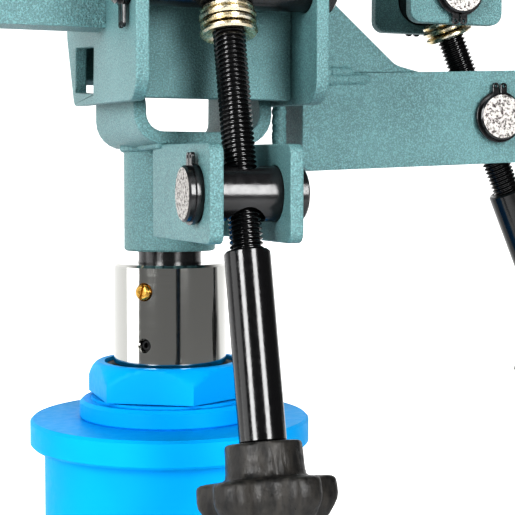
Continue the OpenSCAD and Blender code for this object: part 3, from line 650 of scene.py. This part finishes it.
def build_knob(prefix, matrix, body):
    """Moulded star knob: hub, lobed head with eased rims, torn gate mark and uneven skin"""
    low, high, radius = along(matrix, prefix + "_knob")
    hub_h, hub_r, rod_r = 0.012, 0.0135, 0.0061
    deck = high - hub_h
    # rows of (height, hub radius or share of the star outline, is the row lobed)
    rows = [(high - 0.0010, rod_r, 0), (high - 0.0003, rod_r + 0.0004, 0), (high, rod_r + 0.0012, 0),
            (high, hub_r - 0.0013, 0), (high - 0.0003, hub_r - 0.0005, 0),
            (high - 0.0012, hub_r - 0.0002, 0), (high - 0.004, hub_r - 0.0001, 0),
            (high - 0.007, hub_r, 0), (high - 0.0095, hub_r + 0.0001, 0),
            (deck + 0.0006, hub_r + 0.0004, 0), (deck - 0.0001, hub_r + 0.0014, 0.0),
            (deck - 0.0004, 0.85, 1), (deck - 0.0007, 0.93, 1), (deck - 0.0013, 0.975, 1),
            (deck - 0.0022, 0.993, 1), (deck - 0.004, 1.0, 1), (deck - 0.0065, 1.0, 1),
            (deck - 0.0085, 0.985, 1), (deck - 0.0105, 0.94, 1), (deck - 0.0135, 0.85, 1),
            (deck - 0.0165, 0.73, 1), (deck - 0.0185, 0.60, 1), (deck - 0.0195, 0.45, 1),
            (low, 0.2, 1)]
    count = 180
    bm = bmesh.new()
    rings = []
    for z, size, lobed in rows:
        ring = []
        for i in range(count):
            a = TAU * i / count
            r = size * radius * knob_outline(a) if lobed else size
            point = Vector((r * math.cos(a), r * math.sin(a), z))
            skin = noise.fractal(point * 330, 1.0, 2.0, 3) * 0.00016
            gate = math.exp(-((a - 1.57 * 3) / 0.45) ** 2 - ((z - deck - 0.003) / 0.0028) ** 2)
            torn = noise.fractal(point * 900 + Vector((3, 1, 2)), 0.9, 2.1, 4) * 0.0009 * gate
            inner = 0.0 if r < rod_r + 0.002 and z > deck else 1.0
            point += point.xy.to_3d().normalized() * (skin + torn - 0.0003 * gate) * inner
            ring.append(bm.verts.new(matrix @ point))
        rings.append(ring)
    for upper, lower in zip(rings, rings[1:]):
        for i in range(count):
            k = (i + 1) % count
            bm.faces.new((upper[i], upper[k], lower[k], lower[i]))
    bm.faces.new(rings[-1])
    bm.faces.new(rings[0])
    add_piece(prefix + "_knob_moulded", mesh_from(bm, prefix + "_knob"), body, "black_plastic",
              (prefix + "_knob",), 50)


def weld_tree():
    """Geometry nodes that lay overlapping flattened ripples along every edge path of a mesh"""
    tree = bpy.data.node_groups.new("weld_bead", "GeometryNodeTree")
    face = tree.interface
    face.new_socket("Path", in_out="INPUT", socket_type="NodeSocketGeometry")
    for name, kind in (("Half width", "NodeSocketFloat"), ("Ripple", "NodeSocketFloat"),
                       ("Unevenness", "NodeSocketFloat"), ("Seed", "NodeSocketInt"),
                       ("Finish", "NodeSocketMaterial")):
        face.new_socket(name, in_out="INPUT", socket_type=kind)
    face.new_socket("Bead", in_out="OUTPUT", socket_type="NodeSocketGeometry")
    n, link = tree.nodes.new, tree.links.new
    source = n("NodeGroupInput").outputs
    curve = n("GeometryNodeMeshToCurve")
    link(source["Path"], curve.inputs["Mesh"])
    even = n("GeometryNodeResampleCurve")
    even.mode = "LENGTH"
    link(curve.outputs["Curve"], even.inputs["Curve"])
    link(source["Ripple"], even.inputs["Length"])
    ball = n("GeometryNodeMeshUVSphere")
    ball.inputs["Segments"].default_value = 12
    ball.inputs["Rings"].default_value = 8
    link(source["Half width"], ball.inputs["Radius"])
    uneven = n("FunctionNodeRandomValue")
    uneven.data_type = "FLOAT_VECTOR"
    spread = n("ShaderNodeMath")
    spread.operation = "SUBTRACT"
    spread.inputs[0].default_value = 1
    link(source["Unevenness"], spread.inputs[1])
    link(spread.outputs[0], uneven.inputs["Min"])
    uneven.inputs["Max"].default_value = (1.1, 1.0, 1.0)
    link(source["Seed"], uneven.inputs["Seed"])
    place = n("GeometryNodeInstanceOnPoints")
    link(even.outputs["Curve"], place.inputs["Points"])
    link(ball.outputs["Mesh"], place.inputs["Instance"])
    link(uneven.outputs["Value"], place.inputs["Scale"])
    real = n("GeometryNodeRealizeInstances")
    link(place.outputs["Instances"], real.inputs["Geometry"])
    smooth = n("GeometryNodeSetShadeSmooth")
    link(real.outputs["Geometry"], smooth.inputs["Geometry"])
    paint = n("GeometryNodeSetMaterial")
    link(smooth.outputs["Geometry"], paint.inputs["Geometry"])
    link(source["Finish"], paint.inputs["Material"])
    link(paint.outputs["Geometry"], n("NodeGroupOutput").inputs["Bead"])
    return tree


def weld_piece(body, slot, paths, seed, share=1.0):
    """Weld beads along paths, each a list of points, on one body. share scales the bead."""
    points, edges = [], []
    for path in paths:
        start = len(points)
        points += [tuple(p) for p in path]
        edges += [(start + i, start + i + 1) for i in range(len(path) - 1)]
    mesh = bpy.data.meshes.new(body + "_weld_paths")
    mesh.from_pydata(points, edges, [])
    if "weld_bead" not in bpy.data.node_groups:
        weld_tree()
    tree = bpy.data.node_groups["weld_bead"]
    values = {"Half width": share * shapes().weld_bead, "Ripple": shapes().weld_ripple,
              "Unevenness": 0.18, "Seed": seed, "Finish": finish(slot)}
    obj = bpy.data.objects.new(body + "_welds", mesh)
    bpy.context.scene.collection.objects.link(obj)
    made = obj.modifiers.new("weld", "NODES")
    made.node_group = tree
    for item in tree.interface.items_tree:
        if item.in_out == "INPUT" and item.name in values:
            made[item.identifier] = values[item.name]
    depsgraph = bpy.context.evaluated_depsgraph_get()
    result = bpy.data.meshes.new_from_object(obj.evaluated_get(depsgraph))
    obj.modifiers.clear()
    obj.data = result
    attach(obj, body)
    return obj


def circle_path(centre, radius, axis, steps=40):
    matrix = placement(centre, axis)
    return [matrix @ Vector((radius * math.cos(TAU * i / steps), radius * math.sin(TAU * i / steps),
                             0)) for i in range(steps + 1)]


# ---- operators ------------------------------------------------------------------------------


class JackPiece:
    """What every operator of this add-on shares"""

    bl_options = {"REGISTER", "UNDO"}


class JACK_OT_column(JackPiece, bpy.types.Operator):
    """Turn the reservoir, flange and gland nut, and ease the pump block and foot plate"""

    bl_idname = "jack.column"
    bl_label = "Hydraulic column"

    def execute(self, context):
        edge = shapes().turned_edge
        upright = Matrix.Identity(4)
        for node in ("reservoir_tube", "top_flange"):
            low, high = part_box(node)
            outer = (high.x - low.x) / 2
            inner = outer - 0.004 if node == "reservoir_tube" else (size_of("guide_bush").x / 2)
            eased_edge = 0.0011 if node == "top_flange" else edge
            profile = ring_profile(outer, inner, low.z, high.z, eased_edge)
            turned_piece(node + "_turned", [(profile, upright, 144, 0)], "column", "blue_paint",
                         (node,), smooth=30)
        build_gland()
        for node in ("pump_block", "foot_plate"):
            eased_piece(node, 0.0012, segments=2, angle=40)
        for node, key in (("inner_cylinder", "black_steel"), ("guide_bush", "brass")):
            dress(node, key)
        eased_piece("filler_plug", 0.0005)
        weld_column()
        return {"FINISHED"}


def dress(node, key):
    """Gives a CAD node that stays as it is its finish"""
    data = NODES[node].data
    data.materials.clear()
    data.materials.append(finish(key))


def build_gland():
    """Gland nut: collar, groove and a hexagon whose corners are turned off at the top"""
    low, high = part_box("gland_nut")
    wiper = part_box("ram_wiper")
    bore = size_of("ram").x / 2 + 0.00045
    flange_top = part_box("top_flange")[1].z
    collar_r = size_of("gland_nut").x / 2
    collar_top = flange_top + 0.008
    groove_top = collar_top + 0.001
    neck_r = size_of("guide_bush").x / 2 - 0.0001
    across = 0.037
    flat = across * math.cos(math.pi / 6)
    skirt = [(bore, low.z, 0), (neck_r, low.z, 0), (neck_r, flange_top, 0),
             (collar_r - 0.0008, flange_top, 0), (collar_r, flange_top + 0.0008, 0),
             (collar_r, collar_top - 0.0014, 0), (collar_r - 0.0014, collar_top, 0),
             (flat + 0.002, collar_top, 0), (flat + 0.002, groove_top, 0), (bore, groove_top, 0)]
    bm = bmesh.new()
    turned(bm, skirt, Matrix.Identity(4), 120)
    count = 144
    rows = []
    seat_r = size_of("ram_wiper").x / 2 + 0.00002
    levels = [(groove_top, bore, 0), (groove_top + 0.0005, 0, 0), (high.z - 0.0075, 0, 0),
              (high.z - 0.0060, 0, 0.0362), (high.z - 0.0045, 0, 0.0352),
              (high.z - 0.0030, 0, 0.0341), (high.z - 0.0016, 0, 0.0330),
              (high.z - 0.0006, 0, 0.0321), (high.z, 0, 0.0310)]
    for z, inner, limit in levels:
        ring = []
        for i in range(count):
            a = TAU * i / count
            hexagon = flat / math.cos((a + math.pi / 6) % (math.pi / 3) - math.pi / 6)
            r = inner or min(hexagon, limit or 1)
            ring.append(bm.verts.new((r * math.cos(a), r * math.sin(a), z)))
        rows.append(ring)
    for r, z in ((seat_r, high.z), (seat_r, wiper[0].z), (bore, wiper[0].z)):
        rows.append([bm.verts.new((r * math.cos(TAU * i / count), r * math.sin(TAU * i / count), z))
                     for i in range(count)])
    for lower, upper in zip(rows, rows[1:] + rows[:1]):
        for i in range(count):
            k = (i + 1) % count
            bm.faces.new((lower[i], lower[k], upper[k], upper[i]))
    add_piece("gland_nut_turned", mesh_from(bm, "gland_nut"), "column", "blue_paint",
              ("gland_nut",), 24)


def weld_column():
    """Beads where the reservoir meets the block and where the block meets the foot"""
    block_low, block_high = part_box("pump_block")
    tube_r = size_of("reservoir_tube").x / 2
    half = -block_low.x
    foot_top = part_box("foot_plate")[1].z
    base = Vector((0, 0, block_high.z))
    block = [(-half, -half + 0.012), (-half, half - 0.012)]
    paths = [circle_path(base, tube_r, Z_AXIS, 72)]
    weld_piece("column", "blue_paint", paths, 3)
    paths = [[Vector((x, y, foot_top)) for x, y in block],
             [Vector((-half + 0.012, -half, foot_top)), Vector((half - 0.012, -half, foot_top))],
             [Vector((-half + 0.012, half, foot_top)), Vector((half - 0.012, half, foot_top))]]
    made = weld_piece("column", "teal_paint", paths, 4)
    made.name = "column_foot_welds"


class JACK_OT_ram(JackPiece, bpy.types.Operator):
    """Turn the chromed ram with its lock screws, wiper and piston"""

    bl_idname = "jack.ram"
    bl_label = "Ram"

    def execute(self, context):
        low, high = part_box("ram")
        radius = (high.x - low.x) / 2
        spigot_r = size_of("swivel_spigot").x / 2 + 0.00005
        depth = 0.052
        profile = [(0, low.z, 0), (radius - 0.001, low.z, 0), (radius, low.z + 0.001, 0),
                   (radius, high.z - 0.0011, 0), (radius - 0.0011, high.z, 0),
                   (spigot_r + 0.0008, high.z, 0), (spigot_r, high.z - 0.0008, 0),
                   (spigot_r, high.z - depth, 0), (0, high.z - depth, 0)]
        bm = bmesh.new()
        turned(bm, profile, Matrix.Identity(4), 144)
        mesh = mesh_from(bm, "ram")
        cutters = []
        for node, wider in (("brass_lock_screw", 0.00005), ("lower_lock_screw", 0.00005)):
            matrix, length, r = screw_in_ram(node)
            cutters.append(rod_mesh(r + wider, -0.5 * length, length * 2, matrix))
            cone = bmesh.new()
            turned(cone, [(0, -0.001, 0), (r, -0.001, 0), (r + 0.0016, 0.0016, 0), (0, 0.0016, 0)],
                   matrix @ Matrix.Translation((0, 0, radius - (matrix.translation.xy.length))), 48)
            cutters.append(mesh_from(cone, "cone"))
        mesh = cut(mesh, cutters, "ram")
        add_piece("ram_chromed", mesh, "ram", "chrome", ("ram",), 30)
        build_lock_screws()
        low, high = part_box("ram_wiper")
        outer = (high.x - low.x) / 2
        wiper = ring_profile(outer, radius + 0.0003, low.z, high.z - 0.0015, 0.0006)
        turned_piece("ram_wiper_moulded", [(wiper, Matrix.Identity(4), 120, 0)], "column", "rubber",
                     ("ram_wiper",))
        dress("piston", "black_steel")
        dress("piston_seal", "rubber")
        return {"FINISHED"}


def screw_in_ram(node):
    """Frame of a radial screw in the ram, with local Z pointing outwards, its length and radius"""
    low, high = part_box(node)
    centre = (low + high) / 2
    outward = Vector((centre.x, centre.y, 0)).normalized()
    radius = (high.z - low.z) / 2
    reach = [outward.dot(v.co) for v in NODES[node].data.vertices]
    start, end = min(reach), max(reach)
    return placement(outward * start + Z_AXIS * centre.z, outward), end - start, radius


def build_lock_screws():
    """Slotted brass screw that stands proud, and a socket set screw that sits deep"""
    matrix, length, r = screw_in_ram("brass_lock_screw")
    bm = bmesh.new()
    turned(bm, [(0, 0, 0), (r - 0.0004, 0, 0), (r, 0.0004, 0), (r, length - 0.0007, 0.0004),
                (r - 0.0008, length, 0.0004), (0, length + 0.0000, 0)], matrix, 48)
    slot = bmesh.new()
    bmesh.ops.create_cube(slot, size=1, matrix=matrix @ Matrix.Rotation(0.6, 4, "Z")
                          @ Matrix.Translation((0, 0, length)) @ Matrix.Diagonal((0.02, 0.0011, 0.0026, 1)))
    mesh = cut(mesh_from(bm, "brass"), [mesh_from(slot, "slot")], "brass_lock_screw")
    add_piece("brass_lock_screw_slotted", mesh, "ram", "brass", ("brass_lock_screw",), 30)
    matrix, length, r = screw_in_ram("lower_lock_screw")
    bm = bmesh.new()
    turned(bm, [(0, 0, 0), (r, 0, 0), (r, length - 0.0004, 0), (r - 0.0004, length, 0),
                (0, length, 0)], matrix, 36)
    socket = rod_mesh(r * 0.5, length - 0.002, length + 0.002, matrix, 6)
    mesh = cut(mesh_from(bm, "lower"), [socket], "lower_lock_screw")
    add_piece("lower_lock_screw_socket", mesh, "ram", "black_steel", ("lower_lock_screw",), 30)


class JACK_OT_yoke(JackPiece, bpy.types.Operator):
    """Ease the bent yoke, the post and the screw lug, and weld them together"""

    bl_idname = "jack.yoke"
    bl_label = "Post and yoke"

    def execute(self, context):
        for node in ("yoke_strap", "screw_lug"):
            eased_piece(node)
        low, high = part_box("head_post")
        outer = (high.x - low.x) / 2
        bore = size_of("swivel_spigot").x / 2 + 0.00002
        profile = [(bore, low.z + 0.0006, 0), (bore + 0.0006, low.z, 0), (outer - 0.0007, low.z, 0),
                   (outer, low.z + 0.0007, 0), (outer, high.z, 0), (0, high.z, 0),
                   (0, low.z + 0.020, 0), (bore, low.z + 0.020, 0)]
        bm = bmesh.new()
        turned(bm, profile[4:] + profile[:4], Matrix.Identity(4), 120)
        add_piece("head_post_turned", mesh_from(bm, "head_post"), "yoke", "teal_paint",
                  ("head_post",), 30)
        low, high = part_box("swivel_spigot")
        turned_piece("swivel_spigot_turned", [(pin_profile((high.x - low.x) / 2, high.z - low.z,
                     0.001), placement((low + high) / 2, Z_AXIS), 96, 0)], "yoke", "black_steel",
                     ("swivel_spigot",))
        yoke_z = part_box("head_post")[1].z
        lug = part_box("screw_lug")
        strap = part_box("yoke_strap")
        paths = [circle_path(Vector((0, 0, yoke_z)), outer, Z_AXIS, 60)]
        for x in (lug[0].x, lug[1].x):
            paths.append([Vector((x, strap[0].y + 0.002, yoke_z)),
                          Vector((x, -outer - 0.002, yoke_z))])
        weld_piece("yoke", "teal_paint", paths, 11, 0.6)
        return {"FINISHED"}


class JACK_OT_pins(JackPiece, bpy.types.Operator):
    """Turn the cross pins and fit their clips and washers"""

    bl_idname = "jack.pins"
    bl_label = "Cross pins and clips"

    def execute(self, context):
        play, fit = 0.0074, 0.00605
        cross_pin("pitch_nut", X_AXIS, (play, PITCH_FRAME))
        cross_pin("roll_nut", Y_AXIS, (play, ROLL_FRAME))
        pitch_way = (PITCH_TOP - PITCH_PIN).normalized()
        roll_way = (ROLL_TOP - ROLL_PIN).normalized()
        cross_pin("pitch_swivel", X_AXIS, (fit, placement(PITCH_TOP, pitch_way)))
        cross_pin("roll_swivel", Y_AXIS, (fit, placement(ROLL_TOP, roll_way)))
        cross_pin("pitch_pivot_pin", X_AXIS)
        for node in ("pitch_nut_clips", "roll_nut_clips", "pitch_swivel_clips", "roll_swivel_clips",
                     "pitch_pivot_clips"):
            eased_piece(node, 0.00018, "black_steel", 1, 50)
        eased_piece("pitch_pivot_washers", 0.0003, "zinc_plate", 2, 50)
        eased_piece("roll_pivot_pin", 0.0006, "black_steel", 2, 40)
        return {"FINISHED"}


class JACK_OT_tilt_bracket(JackPiece, bpy.types.Operator):
    """Ease the cheeks, the pivot mount, the side arm and the stop, and weld them"""

    bl_idname = "jack.tilt_bracket"
    bl_label = "Tilt bracket"

    def execute(self, context):
        for node in ("left_cheek", "right_cheek", "roll_pivot_mount", "side_arm",
                     "side_arm_gussets", "cross_plates", "stop_arm"):
            eased_piece(node)
        eased_piece("stop_bolt", 0.0004, "zinc_plate")
        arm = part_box("side_arm")
        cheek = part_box("right_cheek")
        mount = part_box("roll_pivot_mount")
        front = arm[0].y
        corner = cheek[1].x
        seam_slope = math.tan(math.radians(2.5))   # the gusset's lower edge rises outwards
        top = arm[0].z + 0.040                     # the side arm's top at the cheek
        seam = [Vector((corner + 0.005 + dx, front + 0.0012,
                        top - 0.0028 + seam_slope * (dx - 0.006)))
                for dx in (0, 0.008, 0.016, 0.024, 0.032)]
        paths = [seam, [p + Vector((0.001, 0.0002, 0.0032)) for p in seam[:-1]],
                 [Vector((corner, front + 0.0022, arm[0].z + 0.003)),
                  Vector((corner, front + 0.0022, top))]]
        for x in (mount[0].x, mount[1].x):
            for y in (mount[0].y, mount[1].y):
                paths.append([Vector((x, y, mount[0].z + 0.004)),
                              Vector((x, y, cheek[1].z - 0.004))])
        weld_piece("tilt_bracket", "teal_paint", paths, 23)
        return {"FINISHED"}


class JACK_OT_tilt_screws(JackPiece, bpy.types.Operator):
    """Cut the threads of both tilt screws and fit washers, sleeves and knobs"""

    bl_idname = "jack.tilt_screws"
    bl_label = "Tilt screws"

    def execute(self, context):
        build_screw("pitch", PITCH_FRAME, "pitch_screw", 4)
        build_screw("roll", ROLL_FRAME, "roll_screw", 3)
        return {"FINISHED"}


class JACK_OT_saddle(JackPiece, bpy.types.Operator):
    """Ease the saddle plate, lugs, hanger and rubber pads, and weld them"""

    bl_idname = "jack.saddle"
    bl_label = "Saddle"

    def execute(self, context):
        for node in ("saddle_plate", "saddle_lugs", "roll_hanger"):
            eased_piece(node)
        eased_piece("pad_screws", 0.0004, "zinc_plate")
        eased_piece("saddle_pads", 0.0012, "rubber", 2, 40)
        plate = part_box("saddle_plate")
        paths = []
        for node in ("saddle_lugs", "roll_hanger"):
            low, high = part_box(node)
            for y in (low.y, high.y):
                paths.append([Vector((low.x + 0.004, y, plate[0].z)),
                              Vector((high.x - 0.004, y, plate[0].z))])
        weld_piece("saddle", "teal_paint", paths, 31)
        return {"FINISHED"}


class JACK_OT_pump(JackPiece, bpy.types.Operator):
    """Finish the pump: barrel, plunger, lever socket, bracket, pins and release screw"""

    bl_idname = "jack.pump"
    bl_label = "Pump and release"

    def execute(self, context):
        eased_piece("pump_barrel", 0.001, "black_steel", 2, 40)
        eased_piece("pump_plunger", 0.0006, "chrome", 2, 40)
        eased_piece("lever_socket", 0.0008, None, 2, 40)
        eased_piece("lever_bracket", 0.0006)
        for node in ("lever_pivot_pin", "plunger_pin"):
            low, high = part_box(node)
            profile = pin_profile((high.x - low.x) / 2, high.y - low.y, 0.0007)
            turned_piece(node + "_turned", [(profile, placement((low + high) / 2, Y_AXIS), 64, 1)],
                         BODY_OF[node], "black_steel", (node,), ("sawn",))
        eased_piece("release_screw", 0.0006, "black_steel", 2, 40)
        return {"FINISHED"}


# ---- stage ----------------------------------------------------------------------------------


class JACK_OT_stage(JackPiece, bpy.types.Operator):
    """Set up the camera, the pale floor and the soft studio light"""

    bl_idname = "jack.stage"
    bl_label = "Stage"

    def execute(self, context):
        scene = context.scene
        scene.view_settings.view_transform = "Standard"
        scene.view_settings.look = "High Contrast"
        build_camera(scene)
        build_floor()
        build_world(scene)
        build_lights()
        return {"FINISHED"}


def build_camera(scene):
    yaw, dip = math.radians(18.75), math.radians(3.05)
    data = bpy.data.cameras.new("camera")
    data.sensor_width = 36
    data.lens = 88.87
    data.clip_start = 0.01
    camera = bpy.data.objects.new("camera", data)
    scene.collection.objects.link(camera)
    forward = Vector((math.sin(yaw) * math.cos(dip), math.cos(yaw) * math.cos(dip), -math.sin(dip)))
    camera.location = (-0.14032, -0.53113, 0.44143)
    camera.rotation_euler = forward.to_track_quat("-Z", "Y").to_euler()
    scene.camera = camera


def build_floor():
    """Pale floor, a large round sheet at the foot's height, whose far part glows: painted light that whitens the
    floor behind the head
    """
    bm = bmesh.new()
    bmesh.ops.create_circle(bm, cap_ends=True, segments=96, radius=14)
    mesh = bpy.data.meshes.new("floor")
    bm.to_mesh(mesh)
    bm.free()
    floor = bpy.data.objects.new("floor", mesh)
    floor.location.z = CAD_LOW[2] - 0.0004
    bpy.context.scene.collection.objects.link(floor)
    skin = Shader("pale_floor_painted_glow", (0.86, 0.86, 0.86), 0, 0.6, glow_color=(1, 1, 1, 1))
    split = skin.node("ShaderNodeSeparateXYZ")
    skin.link(skin.coords, split.inputs["Vector"])
    # painted light: the floor glows, with no glow up to 0.5 m behind the head, rising to 0.7 at 1.1 m and beyond
    skin.link(skin.ramp(split.outputs["Y"], 0.0, 0.7, (0.5, 1.1)), skin.skin.inputs["Emission Strength"])
    skin.bump(skin.noise(0.004, 2), 0.0001, 0.1)
    mesh.materials.append(skin.material)


def build_world(scene):
    """White room that is dimmer in front and to the right, where the studio opens up"""
    world = bpy.data.worlds.new("studio")
    world.use_nodes = True
    scene.world = world
    tree = world.node_tree
    back = tree.nodes["Background"]
    coords = tree.nodes.new("ShaderNodeTexCoord")
    dot = tree.nodes.new("ShaderNodeVectorMath")
    dot.operation = "DOT_PRODUCT"
    dot.inputs[1].default_value = Vector((0.05, 0.99, 0.08)).normalized()
    tree.links.new(coords.outputs["Generated"], dot.inputs[0])
    ramp = tree.nodes.new("ShaderNodeMapRange")
    ramp.interpolation_type = "SMOOTHSTEP"
    for socket, value in (("From Min", 0.30), ("From Max", 0.80), ("To Min", 0.10), ("To Max", 1.05)):
        ramp.inputs[socket].default_value = value
    tree.links.new(dot.outputs["Value"], ramp.inputs["Value"])
    tree.links.new(ramp.outputs["Result"], back.inputs["Strength"])
    back.inputs["Color"].default_value = (1, 1, 1, 1)


def build_lights():
    """Two tall bright softboxes beside the camera, with a weak fill from the left and above"""
    aim = Vector((0, -0.05, 0.43))
    for name, angle, distance, height, power, size in (
            ("left_softbox", -52, 1.3, 0.80, 12, (0.44, 0.86)),
            ("right_softbox", 14, 1.3, 0.80, 12, (0.44, 0.86)),
            ("side_softbox", -95, 1.5, 0.7, 5, (0.9, 1.2)),
            ("top_softbox", -8, 0.85, 1.60, 4, (0.8, 0.5))):
        data = bpy.data.lights.new(name, "AREA")
        data.shape = "RECTANGLE"
        data.size, data.size_y = size
        data.energy = power
        light = bpy.data.objects.new(name, data)
        bpy.context.scene.collection.objects.link(light)
        a = math.radians(angle)
        light.location = (distance * math.sin(a), -distance * math.cos(a), height)
        light.rotation_euler = (aim - light.location).to_track_quat("-Z", "Y").to_euler()


# ---- panel and registration -----------------------------------------------------------------


class JACK_PT_head(bpy.types.Panel):
    """Buttons that build the jack's tilting head piece by piece"""

    bl_label = "Jack Head"
    bl_idname = "JACK_PT_head"
    bl_space_type = "VIEW_3D"
    bl_region_type = "UI"
    bl_category = "Jack Head"

    def draw(self, context):
        for operator in OPERATORS:
            self.layout.operator(operator.bl_idname)
        for settings in (context.scene.jack_finishes, context.scene.jack_shapes):
            for key in settings.bl_rna.properties.keys():
                if key not in ("rna_type", "name"):
                    self.layout.prop(settings, key)


OPERATORS = (JACK_OT_stage, JACK_OT_column, JACK_OT_ram, JACK_OT_yoke, JACK_OT_pins,
             JACK_OT_tilt_bracket, JACK_OT_tilt_screws, JACK_OT_saddle, JACK_OT_pump)
CLASSES = (FinishSettings, ShapeSettings, *OPERATORS, JACK_PT_head)


def register():
    for each in CLASSES:
        bpy.utils.register_class(each)
    bpy.types.Scene.jack_finishes = bpy.props.PointerProperty(type=FinishSettings)
    bpy.types.Scene.jack_shapes = bpy.props.PointerProperty(type=ShapeSettings)


def unregister():
    del bpy.types.Scene.jack_shapes
    del bpy.types.Scene.jack_finishes
    for each in reversed(CLASSES):
        bpy.utils.unregister_class(each)


def main():
    register()
    for operator in OPERATORS:
        name = operator.bl_idname.split(".")[1]
        getattr(bpy.ops.jack, name)()


if __name__ == "__main__":
    main()
